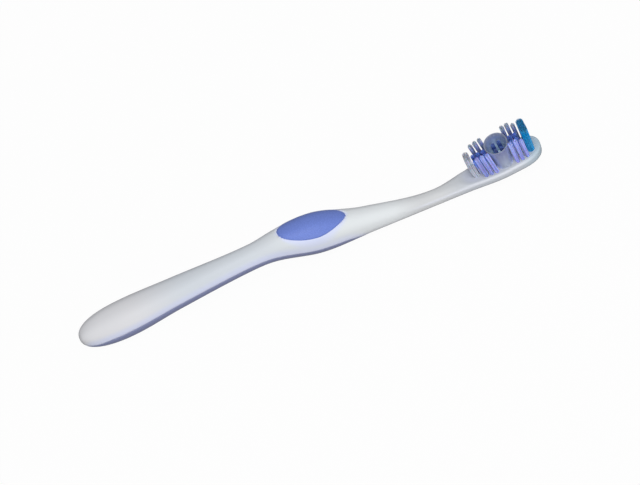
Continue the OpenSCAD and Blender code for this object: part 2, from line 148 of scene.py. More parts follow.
skin = {
    "length": cadBox[1][0] - cadBox[0][0],
    "butt": 20 * mm,          # where the rounded butt ends
    "buttRound": 2.35,        # 2 is an ellipse, more is squarer
    "toe": 9 * mm,            # length of the rounded toe
    "toeRound": (2.2, 5),     # seen from above and from the side
    # pairs of a distance from the butt and a size there, in mm
    "widths": [(0, 15.2), (20, 15.2), (40, 12.7), (72, 9.3), (98, 14.6), (118.64, 9.896),
               (146, 6.2), (158.384, 8.864), (174.8, 13.6), (190, 13.6)],
    "thicknesses": [(0, 12), (20, 12), (40, 10.4), (72, 8.9), (98, 14.6), (118.64, 9.448),
                    (146, 5.4), (174.8, 5.882), (190, 5.882)],
    "middles": [(0, 4.777), (20, 6.077), (40, 8.077), (72, 10.477), (81, 11.177), (98, 9.377),
                (118.64, 5.610), (146, 2.65), (158.384, 3.794), (174.8, 5.741), (190, 7.664)],
    # how square the section is, above (by the distance too) and below; 2 is an ellipse
    "topFullness": [(0, 2.4), (146, 2.4), (174.8, 4), (190, 4)],
    "underFullness": 2.6,
}
head = {
    "place": Vector((79.8 * mm, 0, 7.8 * mm)),  # middle of the tufted face
    "tilt": 8,
    "faceBack": 13.5 * mm,    # how far the flat runs back to the hollow before the neck
    "hollow": 12 * mm,        # radius of that hollow
    "hollowReach": 0.98,      # how much of that radius the hollow takes up
    "rim": 0.55 * mm,         # rounding of the face's edge
}
inHead = (Matrix.Translation(head["place"])
          @ Matrix.Rotation(math.radians(-head["tilt"]), 4, "Y"))
fromHead = inHead.inverted()


def secant(keys, i):
    return (keys[i + 1][1] - keys[i][1]) / (keys[i + 1][0] - keys[i][0])


def keySlope(keys, i):
    if i in (0, len(keys) - 1):
        return secant(keys, min(i, len(keys) - 2))
    before, after = secant(keys, i - 1), secant(keys, i)
    return 0 if before * after <= 0 else 2 * before * after / (before + after)


def curveAt(keys, x):  # a smooth curve through keys, without swinging past them
    x = x / mm
    i = max(k for k in range(len(keys) - 1) if k == 0 or x >= keys[k][0])
    run = keys[i + 1][0] - keys[i][0]
    t = (x - keys[i][0]) / run
    value = keys[i][1] * (1 - t) ** 2 * (1 + 2 * t) + keys[i + 1][1] * t * t * (3 - 2 * t)
    value += keySlope(keys, i) * run * t * (1 - t) ** 2
    value -= keySlope(keys, i + 1) * run * t * t * (1 - t)
    return value


def roundEnd(u, power):  # 1 up to u = 0, then falls in a rounded corner to 0 at u = 1
    return 1 if u <= 0 else 0 if u >= 1 else (1 - u ** power) ** (1 / power)


def bulge(value, fullness):
    return math.copysign(abs(value) ** (2 / fullness), value)


def sectionAt(x):  # half width, half thickness and height of the middle
    butt = roundEnd((skin["butt"] - x) / skin["butt"], skin["buttRound"])
    toe = (x - skin["length"] + skin["toe"]) / skin["toe"]
    fromAbove, fromSide = skin["toeRound"]
    halfWidth = curveAt(skin["widths"], x) * mm / 2 * butt * roundEnd(toe, fromAbove)
    halfThick = curveAt(skin["thicknesses"], x) * mm / 2 * butt * roundEnd(toe, fromSide)
    return halfWidth, halfThick, curveAt(skin["middles"], x) * mm


def onSkin(x, angle, lift=0):  # angle in degrees from +Y over the top
    halfWidth, halfThick, middle = sectionAt(x)
    across, up = math.cos(math.radians(angle)), math.sin(math.radians(angle))
    fullness = skin["underFullness"] if up < 0 else curveAt(skin["topFullness"], x)
    return Vector((
        x - skin["length"] / 2,
        (halfWidth + lift) * bulge(across, fullness),
        max(middle + (halfThick + lift) * bulge(up, fullness), 0),
    ))


def underFace(point):  # lowers what stands above the tufted face, with a rounded rim
    local = fromHead @ point
    fromFlat = local.x + head["faceBack"]  # below 0 in the hollow
    if fromFlat < -head["hollow"] * head["hollowReach"]:
        return point
    limit = 0
    if fromFlat < 0:
        limit = head["hollow"] - math.sqrt(head["hollow"] ** 2 - fromFlat ** 2)
    blend = max(head["rim"] - abs(local.z - limit), 0) / head["rim"]
    local.z = min(local.z, limit) - blend * blend * head["rim"] / 4
    return inHead @ local


# Grips' outlines on the skin

pad = {
    "middle": 97.3 * mm,
    "length": 27 * mm,
    "wrap": 69,               # degrees down each side
    "ends": (0.5, 0.56),      # lower is rounder, at the butt and the toe
    "fullness": 0.3,          # how much fuller the outline is towards the butt
    "proud": 0.32 * mm,
    "rimShare": 0.35,         # how much of that it keeps near its rim
    "rimDepth": 0.25 * mm,    # how far its rim dips into the seat
    "rollShare": 0.065,       # width of the rolled rim, as a share of the pad
    "depth": 0.8 * mm,
    "sides": 160,
    "rimSteps": [0.012, 0.012, 0.014, 0.018, 0.024],  # ring widths from the rim inwards
    "crownSteps": [0.07] * 13,
}
grip = {
    "start": 1 * mm,
    "end": 118 * mm,
    "startTaper": 3 * mm,
    "tongueLength": 12 * mm,
    "endShare": 0.985,        # both ends stop just short of a point
    # pairs of a distance from the butt in mm and degrees below the side there
    "edges": [(0, 22), (12, 2), (24, 0), (66.8, 0), (98, 14), (118, 14)],
    "proud": 0.05 * mm,
    "rimDepth": 0.22 * mm,
    "rollWidth": 0.45 * mm,
    "tipRoll": 2,             # the tongue's tip rolls over in a width this many times less
    "depth": 0.8 * mm,
    "columns": 40,
    "rows": 260,
    "tongueFrom": 0.8,        # share of the rows before the tongue
    "rowGather": 1.3,         # more draws the rows together at the butt
}


def padEdge(u):  # u runs from -1 to 1 along the pad; its reach as a share of the half width
    end = pad["ends"][u > 0]
    share = math.sin(math.radians(pad["wrap"])) * max(1 - u * u, 0) ** end
    return share * (1 + pad["fullness"] * min(u, 0) ** 2)


def padPoint(u, v):  # u and v run from -1 to 1 inside a circle
    tiny = 1e-9
    side = padEdge(u) * v / math.sqrt(max(1 - u * u, tiny))
    return pad["middle"] + pad["length"] / 2 * u, 90 - math.degrees(math.asin(side))


def insidePad(x, angle):  # how far inside the pad's outline a place is, in metres
    u = (x - pad["middle"]) / (pad["length"] / 2)
    across = abs(math.cos(math.radians(angle)))
    beyond = max(abs(u) - 1, 0) * pad["length"] / 2
    return (padEdge(u) - across) * sectionAt(x)[0] - beyond if angle > 0 else -1


def gripEdge(x):  # degrees below the side where the back grip begins
    tongue = (x - grip["end"] + grip["tongueLength"]) / grip["tongueLength"]
    taper = 1 - (x - grip["start"]) / grip["startTaper"]
    narrow = (roundEnd(tongue * grip["endShare"], 2)
              * roundEnd(taper * grip["endShare"], 2))
    return 90 - (90 - curveAt(grip["edges"], x)) * narrow


def belowSide(angle):  # degrees below the middle of the nearer side
    if angle > 90:
        return angle - 180
    return -angle if angle > -90 else 180 + angle


def arcAt(x, degrees):  # length of that much of the way round the handle
    return math.radians(degrees) * sum(sectionAt(x)[:2]) / 2


def insideGrip(x, angle):  # how far inside the back grip's outline a place is, in metres
    if x < grip["start"] or x > grip["end"]:
        return -1
    return arcAt(x, belowSide(angle) - gripEdge(x))


# Handle body

body = {
    "around": 128,
    "buttRings": 26,
    "handleRings": 170,
    "headRings": 84,
    "toeRings": 26,
    "headStart": 150 * mm,
    "seamGap": 0.004 * mm,
    "recess": 0.6 * mm,       # depth of the seats under the grips
    "seatEdge": (0.15 * mm, 0.7 * mm),  # where the seats' walls begin and end inside the outline
    "glow": 3.2 * mm,         # how far the painted glow reaches beside the back grip: its violet, as if shining through the plastic
    # how far the same painted glow reaches beside the thumb pad
    "padGlow": 1.8 * mm,
    "faceFade": (0.1 * mm, 1.2 * mm),  # cut off above the face, from where the painted reflection of the tufts' blue sets in
    "brightEdge": (-0.6 * mm, 1.1 * mm),  # height and reach of the painted highlight along the face's edge
    "neckEdge": (73, 18),     # the same painted highlight on the neck, in degrees from the top
    "neckLine": (130 * mm, 143 * mm),  # where it sets in
    "neckShare": 0.85,
}


def bodyStations():  # places of the rings, closer together at the butt and the toe
    butt, toe = skin["butt"], skin["toe"]
    toeStart = skin["length"] - toe
    stations = [butt * (1 - math.cos(math.pi / 2 * k / body["buttRings"]))
                for k in range(body["buttRings"])]
    for start, end, count in ((butt, body["headStart"], body["handleRings"]),
                              (body["headStart"], toeStart, body["headRings"])):
        stations += [start + (end - start) * k / count for k in range(count)]
    stations += [toeStart + toe * math.sin(math.pi / 2 * k / body["toeRings"])
                 for k in range(body["toeRings"] + 1)]
    return stations


def seatDepth(x, angle):  # how far the body is sunk under the grips
    inside = max(insideGrip(x, angle), insidePad(x, angle))
    return smoothStep(*body["seatEdge"], inside) * body["recess"]


def glowAt(x, angle):  # painted glow: the grips' violet, as if shining through the plastic beside them
    byPad = 1 - smoothStep(0, body["padGlow"], -insidePad(x, angle))
    if not grip["start"] < x < grip["end"]:
        return byPad
    return max(byPad, 1 - smoothStep(0, body["glow"], -insideGrip(x, angle)))


def edgeLight(place, x, angle):  # painted highlight: lighter colour along the face's edge and the neck, where light gathers
    fromFace = fromHead @ place
    isHead = smoothStep(-head["faceBack"] - head["hollow"], -head["faceBack"], fromFace.x)
    isNeck = (1 - isHead) * smoothStep(*body["neckLine"], x) * body["neckShare"]
    height, reach = body["brightEdge"]
    turn, spread = body["neckEdge"]
    onHead = 1 - smoothStep(0, reach, abs(fromFace.z - height))
    onNeck = 1 - smoothStep(0, spread, abs(abs(angle - 90) - turn))
    return isHead * onHead + isNeck * onNeck


def makeBody():
    stations = bodyStations()
    last = len(stations) - 1
    bpy.ops.mesh.primitive_grid_add(x_subdivisions=last, y_subdivisions=body["around"], size=1)
    piece = namePiece(bpy.context.object, "handle_body_skin")
    marks = {"glow": [], "face": [], "edge": []}
    for v in piece.data.vertices:
        x = stations[round((v.co.x + 0.5) * last)]
        angle = v.co.y * 360 - 90
        angle = angle + 360 if angle < -180 else angle
        place = onSkin(x, angle, -seatDepth(x, angle))
        v.co = underFace(place)
        # painted glow beside the grips
        marks["glow"].append(glowAt(x, angle))
        # painted reflection: the tufts' blue on the tufted face
        marks["face"].append(smoothStep(*body["faceFade"], (place - v.co).length))
        # painted highlight along the face's edge and the neck
        marks["edge"].append(edgeLight(place, x, angle))
    for name, values in marks.items():
        markVertices(piece, name, values)
    closeSeam(piece, body["seamGap"])
    return piece


# Thumb pad and back grip

def makePad():
    bpy.ops.mesh.primitive_circle_add(vertices=pad["sides"], radius=1, fill_type="NGON")
    piece = namePiece(bpy.context.object, "thumb_pad_skin")
    editPiece(piece)
    bpy.ops.mesh.select_all(action="SELECT")
    for step in pad["rimSteps"] + pad["crownSteps"]:
        bpy.ops.mesh.inset(thickness=step, use_even_offset=True)
    bpy.ops.mesh.poke()
    leaveEdit()
    for v in piece.data.vertices:
        out = math.hypot(v.co.x, v.co.y)
        roll = smoothStep(0, pad["rollShare"], 1 - out)
        crown = pad["rimShare"] + (1 - pad["rimShare"]) * (1 - out * out)
        lift = pad["proud"] * crown * roll - pad["rimDepth"] * (1 - roll)
        v.co = onSkin(*padPoint(v.co.x, v.co.y), lift)
    closeSeam(piece)
    applyModifier(piece, "SUBSURF", levels=1, render_levels=1)
    applyModifier(piece, "SOLIDIFY", thickness=pad["depth"], offset=-1)
    return piece


def gripRow(share):  # distance of a row from the butt, by its share of all rows
    tongueStart = grip["end"] - grip["tongueLength"]
    if share < grip["tongueFrom"]:
        before = (share / grip["tongueFrom"]) ** grip["rowGather"]
        return grip["start"] + (tongueStart - grip["start"]) * before
    onTongue = (share - grip["tongueFrom"]) / (1 - grip["tongueFrom"])
    return grip["end"] - grip["tongueLength"] * math.cos(math.pi / 2 * onTongue)


def makeBackGrip():
    bpy.ops.mesh.primitive_grid_add(
        x_subdivisions=grip["rows"], y_subdivisions=grip["columns"], size=2)
    piece = namePiece(bpy.context.object, "back_grip_skin")
    for v in piece.data.vertices:
        x = gripRow((v.co.x + 1) / 2)
        reach = 90 - gripEdge(x)  # degrees from the middle of the back to the grip's edge
        spread = math.sin(math.pi / 2 * v.co.y)  # columns closer together at the edges
        fromEdge = min(arcAt(x, reach * (1 - abs(spread))),
                       x - grip["start"], (grip["end"] - x) * grip["tipRoll"])
        roll = smoothStep(0, grip["rollWidth"], fromEdge)
        lift = grip["proud"] * roll - grip["rimDepth"] * (1 - roll)
        v.co = onSkin(x, -90 - spread * reach, lift)
    closeSeam(piece)
    applyModifier(piece, "SOLIDIFY", thickness=grip["depth"], offset=-1)
    return piece


# Polishing cup

cup = {
    "sides": 72,
    "foot": (7.4 * mm, 10.9 * mm),  # along and across the head, as the next two
    "base": (6.9 * mm, 10.4 * mm),
    "rim": (9.6 * mm, 11.2 * mm),
    "height": 9.4 * mm,
    "wall": 0.8 * mm,
    "lip": 0.5 * mm,
    "floor": 0.6 * mm,
    "levels": 9,
    "footSteps": [(0, -0.5), (0, -0.02), (-0.1, 0.06)],  # added width and height in mm
    "baseSteps": [(0.16, 0.09), (0, 0.2)],
    "lipSteps": [(0, 0.18), (0.1, 0.02)],  # inset and drop from the rim in mm
    "floorSteps": [(0.1, 0.12), (0.45, 0), (1.4, 0)],  # inset and rise inside in mm
    "outside": (0.88, 0.97),  # share of the outer size where the outer wall's colour sets in
    "flank": (0.35, 1),       # share of the half width where the painted reflection of the tufts sets in
}


def cupSize(share, inset=0):  # length and width at a share of the height
    flare = share * share
    return [cup["base"][k] + (cup["rim"][k] - cup["base"][k]) * flare - 2 * inset
            for k in (0, 1)]


def cupRings():  # size and height of each ring, up the outside and down the inside
    rings = [([size + grow * mm for size in cup[part]], rise * mm)
             for part, steps in (("foot", "footSteps"), ("base", "baseSteps"))
             for grow, rise in cup[steps]]
    shares = [k / cup["levels"] for k in range(1, cup["levels"])]
    rings += [(cupSize(share), cup["height"] * share) for share in shares]
    lip = [(inset * mm, cup["height"] - drop * mm) for inset, drop in cup["lipSteps"]]
    rings += [(cupSize(1, inset), height) for inset, height in lip]
    rings += [(cupSize(1, cup["lip"] - inset), height) for inset, height in reversed(lip)]
    for share in reversed(shares):
        wall = cup["wall"] + (cup["lip"] - cup["wall"]) * share
        rings.append((cupSize(share, wall), cup["height"] * share))
    rings += [(cupSize(0, cup["wall"] + inset * mm), cup["floor"] + rise * mm)
              for inset, rise in cup["floorSteps"]]
    return rings


def markCup(piece):
    marks = {"rise": [], "outside": [], "flank": []}
    for v in piece.data.vertices:
        rise = clamp(v.co.z / cup["height"])
        length, width = cupSize(rise)
        out = math.hypot(v.co.x / length, v.co.y / width) * 2
        marks["rise"].append(rise)
        marks["outside"].append(smoothStep(*cup["outside"], out))
        # where the painted reflection of the tufts shows
        marks["flank"].append(smoothStep(*cup["flank"], abs(v.co.x) * 2 / length))
    for name, values in marks.items():
        markVertices(piece, name, values)


def makeCup():
    bpy.ops.mesh.primitive_circle_add(vertices=cup["sides"], radius=0.5, fill_type="NOTHING")
    piece = namePiece(bpy.context.object, "polishing_cup_skin")
    editPiece(piece)
    bpy.ops.mesh.select_all(action="SELECT")
    size, height = (1, 1), 0
    for k, (nextSize, nextHeight) in enumerate(cupRings()):
        if k > 0:
            bpy.ops.mesh.extrude_region_move()
        bpy.ops.transform.resize(value=(nextSize[0] / size[0], nextSize[1] / size[1], 1),
                                 center_override=(0, 0, 0))
        bpy.ops.transform.translate(value=(0, 0, nextHeight - height))
        size, height = nextSize, nextHeight
    bpy.ops.mesh.edge_face_add()
    bpy.ops.mesh.select_all(action="SELECT")
    bpy.ops.mesh.fill_holes(sides=0)
    leaveEdit()
    closeSeam(piece)
    applyModifier(piece, "SUBSURF", levels=1, render_levels=1)
    markCup(piece)
    piece.data.transform(inHead)
    return piece


# Bristle tufts

filament = {
    "radius": 0.1 * mm,
    "sides": 6,
    "segments": 4,
    "shaft": 0.94,            # share of the length below the rounded tip
    "tipSteps": [(0.035, 0.82), (0.025, 0.5)],  # rise and narrowing
    "sharpAngle": 50,
    "root": -0.6 * mm,        # where it begins in its hole
    "leastSplay": 0.6,        # of its tuft's splay
    "moreSplay": 0.8,         # at most, by chance
    "stray": 0.05 * mm,       # of the tip, by chance
}
tuftKinds = {  # filaments, and what shapes their tips; bulge is of the side to the handle
    "outer": {"count": 42, "splay": 0.16, "uneven": 0.25, "dome": 0.7, "bulge": 0},
    "inner": {"count": 46, "splay": 0.12, "uneven": 0.25, "dome": 0.6, "bulge": 0},
    "cup": {"count": 42, "splay": 0.08, "uneven": 0.2, "dome": 0.6, "bulge": 0},
    "heel": {"count": 200, "splay": 0.15, "uneven": 0.3, "dome": 0.7, "bulge": 0.7},
    "toe": {"count": 400, "splay": 0.05, "uneven": 0.12, "dome": 0.2, "bulge": 0},
}
planting = {
    "holeTop": -0.01 * mm,    # a solid tuft's points below this height lie in its hole
    "tipZone": 1.2 * mm,      # and its points this near to the top are tips
    "roundHole": 0.3 * mm,    # more difference of the half sizes makes a long hole
    "seedTurn": 137.5,        # degrees from one filament to the next in a round hole
    "fewestColumns": 3,
    "stagger": (0.75, 0.25),  # place in its row, in even and in odd columns
}


def makeFilament():  # a unit filament: radius 1, height 1, standing on the origin
    bpy.ops.mesh.primitive_circle_add(vertices=filament["sides"], radius=1, fill_type="NGON")
    piece = namePiece(bpy.context.object, "filament")
    editPiece(piece)
    bpy.ops.mesh.select_all(action="SELECT")
    steps = [(filament["shaft"] / filament["segments"], 1)] * filament["segments"]
    for rise, narrow in steps + filament["tipSteps"]:
        bpy.ops.mesh.extrude_region_move(TRANSFORM_OT_translate={"value": (0, 0, rise)})
        bpy.ops.transform.resize(value=(narrow, narrow, 1), center_override=(0, 0, 0))
    leaveEdit()
    return piece


def tuftMeasure(node):  # where a tuft stands in the head, its size and how it leans
    places = [fromHead @ v.co for v in frame["nodes"][node].data.vertices]
    top = max(p.z for p in places)
    foot = [p for p in places if p.z < planting["holeTop"]]
    tips = [p for p in places if p.z > top - planting["tipZone"]]
    low = Vector([min(p[k] for p in foot) for k in range(3)])
    high = Vector([max(p[k] for p in foot) for k in range(3)])
    tip = sum(tips, Vector()) / len(tips)
    middle = (low + high) / 2
    slope = (tip.x - middle.x) / (tip.z - middle.z)
    lean = math.atan(slope)
    return {
        "base": Vector((middle.x - slope * middle.z, middle.y, 0)),
        "lean": lean,
        "height": top / math.cos(lean),
        "along": (high.x - low.x) - abs(slope) * (high.z - low.z),
        "across": high.y - low.y,
    }


def roundPlaces(along, across, count):  # as seeds in a sunflower
    places = []
    for k in range(count):
        r = math.sqrt((k + 0.5) / count)
        turn = k * math.radians(planting["seedTurn"])
        places.append((along * r * math.cos(turn), across * r * math.sin(turn)))
    return places


def longPlaces(along, across, count):  # in columns with rounded ends
    columns = max(round(math.sqrt(count * along / across)), planting["fewestColumns"])
    rows = round(count / columns)
    places = []
    for i in range(columns):
        a = (i + 0.5) / columns * 2 - 1
        side = across - along + along * math.sqrt(1 - a * a)
        for j in range(rows):
            b = (j + planting["stagger"][i % 2]) / rows * 2 - 1
            places.append((along * a, side * b))
    return places


def tuftPlaces(measure, count):
    along = measure["along"] / 2 - filament["radius"]
    across = measure["across"] / 2 - filament["radius"]
    fill = roundPlaces if across - along < planting["roundHole"] else longPlaces
    return fill(along, across, count)


def bendFilament(copy, foot, away, height, bulgeHere):  # from upright to its shape in the tuft
    radius, root = filament["radius"], filament["root"]
    for v in copy.data.vertices:
        t = v.co.z
        v.co = (foot[0] + v.co.x * radius + away[0] * t * t - bulgeHere * math.sin(math.pi * t),
                foot[1] + v.co.y * radius + away[1] * t * t,
                root + (height - root) * t)


def makeTuft(node, source):
    kind = tuftKinds[node.split("_")[1]]
    measure = tuftMeasure(node)
    rng = random.Random(node)
    stand = (inHead @ Matrix.Translation(measure["base"])
             @ Matrix.Rotation(measure["lean"], 4, "Y"))
    copies = []
    for x, y in tuftPlaces(measure, kind["count"]):
        copy = source.copy()
        copy.data = source.data.copy()
        bpy.context.collection.objects.link(copy)
        off = (x / measure["along"] * 2, y / measure["across"] * 2)  # -1 to 1 across the tuft
        height = measure["height"] - kind["dome"] * mm * (off[0] ** 2 + off[1] ** 2)
        height -= rng.random() * kind["uneven"] * mm
        splay = kind["splay"] * mm * (filament["leastSplay"]
                                      + filament["moreSplay"] * rng.random())
        away = [splay * side + rng.uniform(-filament["stray"], filament["stray"])
                for side in off]
        markVertices(copy, "along", [v.co.z for v in copy.data.vertices])
        markVertices(copy, "tone", [rng.random()] * len(copy.data.vertices))
        bendFilament(copy, (x, y), away, height, kind["bulge"] * mm * (1 - off[0]) / 2)
        copy.data.transform(stand)
        copies.append(copy)
    selectPiece(copies[0])
    for copy in copies:
        copy.select_set(True)
    bpy.ops.object.join()
    piece = namePiece(bpy.context.object, node + "_bristles")
    smoothPiece(piece, filament["sharpAngle"])
    return piece


# Material helpers

def newMaterial(name):
    material = bpy.data.materials.new(name)
    material.use_nodes = True
    material.node_tree.nodes.clear()
    return material, material.node_tree


def setSocket(tree, socket, value):  # a link from another socket, or a plain value
    if isinstance(value, bpy.types.NodeSocket):
        tree.links.new(value, socket)
    else:
        socket.default_value = value


def addNode(tree, kind, inputs=None, **settings):
    node = tree.nodes.new(kind)
    for key, value in settings.items():
        setattr(node, key, value)
    for key, value in (inputs or {}).items():
        setSocket(tree, node.inputs[key], value)
    return node


def finishShader(tree, inputs):
    shader = addNode(tree, "ShaderNodeBsdfPrincipled", inputs)
    output = addNode(tree, "ShaderNodeOutputMaterial")
    tree.links.new(shader.outputs["BSDF"], output.inputs["Surface"])


def objectPlace(tree):
    return addNode(tree, "ShaderNodeTexCoord").outputs["Object"]


def markOf(tree, name):  # what markVertices wrote
    return addNode(tree, "ShaderNodeAttribute", attribute_name=name).outputs["Fac"]


def rampOf(tree, value, low, high, **settings):  # 0 below low, 1 above high
    ramp = addNode(tree, "ShaderNodeMapRange", {
        "Value": value, "From Min": low, "From Max": high}, **settings)
    return ramp.outputs["Result"]


def mixColors(tree, share, first, second):
    mix = addNode(tree, "ShaderNodeMix", data_type="RGBA")
    for key, value in (("Factor", share), (6, first), (7, second)):  # 6 and 7 are the colours
        setSocket(tree, mix.inputs[key], value)
    return mix.outputs[2]


def strayFrom(tree, middle, value, amount):  # moves a number as the value strays from a half
    centred = addNode(tree, "ShaderNodeMath", {0: value, 1: 0.5}, operation="SUBTRACT")
    moved = addNode(tree, "ShaderNodeMath", {
        0: centred.outputs[0], 1: amount, 2: middle}, operation="MULTIPLY_ADD")
    return moved.outputs[0]


def scaleColor(tree, color, scale):
    tint = addNode(tree, "ShaderNodeVectorMath", {0: color, "Scale": scale}, operation="SCALE")
    return tint.outputs["Vector"]


def bumpOf(tree, height, strength, distance):
    bump = addNode(tree, "ShaderNodeBump", {
        "Height": height, "Strength": strength, "Distance": distance})
    return bump.outputs["Normal"]


def newGroup(name, numbers, outputs):  # takes a colour and the numbers named
    group = bpy.data.node_groups.new(name, "ShaderNodeTree")
    face = group.interface
    face.new_socket("Color", in_out="INPUT", socket_type="NodeSocketColor")
    for key, value in numbers.items():
        socket = face.new_socket(key, in_out="INPUT", socket_type="NodeSocketFloat")
        socket.default_value = value
    for key, kind in outputs.items():
        face.new_socket(key, in_out="OUTPUT", socket_type="NodeSocket" + kind)
    return group, addNode(group, "NodeGroupInput")


def finishGroup(group, results):
    addNode(group, "NodeGroupOutput", results)
    return group


def makeMouldedGroup():  # slow drift of tone and a faint unevenness of a moulded surface
    group, start = newGroup(
        "mouldedSurface",
        {"Drift": 0.1, "Flow Scale": 60, "Grain Scale": 4000, "Roughness": 0.3},
        {"Color": "Color", "Roughness": "Float", "Height": "Float"})
    place = objectPlace(group)
    stretch = addNode(group, "ShaderNodeMapping", {"Vector": place, "Scale": (0.35, 1, 1)})
    flow = addNode(group, "ShaderNodeTexNoise", {
        "Vector": stretch.outputs["Vector"], "Scale": start.outputs["Flow Scale"],
        "Detail": 2, "Distortion": 0.1}).outputs["Fac"]
    grain = addNode(group, "ShaderNodeTexNoise", {
        "Vector": place, "Scale": start.outputs["Grain Scale"], "Detail": 2}).outputs["Fac"]
    tone = strayFrom(group, 1, flow, start.outputs["Drift"])
    return finishGroup(group, {
        "Color": scaleColor(group, start.outputs["Color"], tone),
        "Roughness": strayFrom(group, start.outputs["Roughness"], flow, amount=0.12),
        "Height": grain})


def makeStippleGroup():  # small close dots, as spark-eroded moulds leave on soft grips
    group, start = newGroup(
        "stippledGrip", {"Dot Scale": 1800, "Contrast": 0.2},
        {"Color": "Color", "Height": "Float"})
    dots = addNode(group, "ShaderNodeTexVoronoi", {
        "Vector": objectPlace(group), "Scale": start.outputs["Dot Scale"], "Randomness": 0.8})
    height = addNode(group, "ShaderNodeMapRange", {
        "Value": dots.outputs["Distance"], "From Min": 0.1, "From Max": 0.6,
        "To Min": 1, "To Max": 0}).outputs["Result"]
    tone = strayFrom(group, 1, height, start.outputs["Contrast"])
    return finishGroup(group, {
        "Color": scaleColor(group, start.outputs["Color"], tone), "Height": height})


mouldedGroup = makeMouldedGroup()
stippleGroup = makeStippleGroup()


def addGroup(tree, group, inputs):
    return addNode(tree, "ShaderNodeGroup", inputs, node_tree=group).outputs


# Materials

pearl = {
    "butt": (0.815, 0.815, 0.825, 1),
    "along": [  # the next colours, and where each sets in, in mm from the brush's middle
        ((0.745, 0.78, 0.81, 1), -75, -48),  # handle
        ((0.86, 0.885, 0.885, 1), -30, 10),  # thumb swell
        ((0.755, 0.765, 0.765, 1), 32, 46),  # neck
        ((0.645, 0.675, 0.71, 1), 50, 68),   # head
    ],
    # painted glow: the grips' violet, as if shining through the plastic beside them
    "glow": (0.80, 0.84, 1.0, 1),
    "glowStrength": 0.9,
    # painted reflection: the tufts' blue on the tufted face
    "face": (0.65, 0.685, 0.78, 1),
    # painted highlight along the face's edge and the neck
    "edge": (0.84, 0.86, 0.90, 1),
    # painted reflection: the blue toe tuft's cyan cast on the head's toe
    "toe": (0.57, 0.69, 0.76, 1),
    "toeAlong": (83, 95),
    "roughness": 0.376,
}


def makePearl():
    material, tree = newMaterial("pearlPlastic")
    place = addNode(tree, "ShaderNodeSeparateXYZ", {"Vector": objectPlace(tree)}).outputs["X"]

    def blendAlong(base, color, start, end):
        share = rampOf(tree, place, start * mm, end * mm, interpolation_type="SMOOTHSTEP")
        return mixColors(tree, share, base, color)

    base = pearl["butt"]
    for color, start, end in pearl["along"]:
        base = blendAlong(base, color, start, end)
    # painted glow beside the grips
    glow = addNode(tree, "ShaderNodeMath", {
        0: markOf(tree, "glow"), 1: pearl["glowStrength"]}, operation="MULTIPLY")
    base = mixColors(tree, glow.outputs[0], base, pearl["glow"])
    # painted reflection of the tufts on the face, then the painted highlight along its edge and
    # the neck
    for name in ("face", "edge"):
        base = mixColors(tree, markOf(tree, name), base, pearl[name])
    # painted reflection of the blue toe tuft on the toe
    base = blendAlong(base, pearl["toe"], *pearl["toeAlong"])
    moulded = addGroup(tree, mouldedGroup, {
        "Color": base, "Drift": 0.06, "Flow Scale": 45, "Grain Scale": 5000,
        "Roughness": pearl["roughness"]})
    finishShader(tree, {
        "Base Color": moulded["Color"], "Roughness": moulded["Roughness"], "IOR": 1.225,
        "Normal": bumpOf(tree, moulded["Height"], strength=0.05, distance=0.02 * mm),
        "Diffuse Roughness": 1,
        "Coat Weight": 1, "Coat Roughness": 0.3, "Coat IOR": 1.05,
        "Coat Tint": (0.7, 0.7, 0.71, 1)})
    return material


softGrip = {
    "pad": (0.155, 0.23, 0.63, 1),
    # painted shade: the back grip is the pad's elastomer, given a darker, greyer violet
    "back": (0.235, 0.26, 0.43, 1),
    "dotScale": 2200,
    "dotContrast": 0.15,
}


def makeSoftGrip(name, color):
    material, tree = newMaterial(name)
    stipple = addGroup(tree, stippleGroup, {
        "Color": color, "Dot Scale": softGrip["dotScale"], "Contrast": softGrip["dotContrast"]})
    moulded = addGroup(tree, mouldedGroup, {
        "Color": stipple["Color"], "Drift": 0.1, "Flow Scale": 140, "Grain Scale": 6000,
        "Roughness": 0.5})
    finishShader(tree, {
        "Base Color": moulded["Color"], "Roughness": moulded["Roughness"], "IOR": 1.34,
        "Normal": bumpOf(tree, stipple["Height"], strength=0.25, distance=0.06 * mm),
        "Coat Weight": 1, "Coat Roughness": 0.4, "Coat IOR": 1.05,
        "Coat Tint": (0.82, 0.82, 0.82, 1)})
    return material


milk = {  # painted reflection: the clear cup's flanks take the blue of the tufts beside them; painted light makes it lighter deep inside and darker up high
    "foot": (0.42, 0.47, 0.58, 1),
    "rim": (0.18, 0.20, 0.38, 1),
    # painted reflection of the tufts beside the cup
    "flank": (0.50, 0.59, 1.0, 1),
    # painted light inside: lighter deep down, with the tufts' blue seen through, darker up high
    "deepInside": (0.66, 0.84, 1.0, 1),
    "highInside": (0.20, 0.27, 0.49, 1),
    "lip": (0.22, 0.25, 0.34, 1),
    # shares of the height where the last two set in, the lip's inside and then all round
    "highFrom": (0.4, 0.8),
    "lipInside": (0.78, 0.96),
    "lipTop": (0.95, 0.99),
}


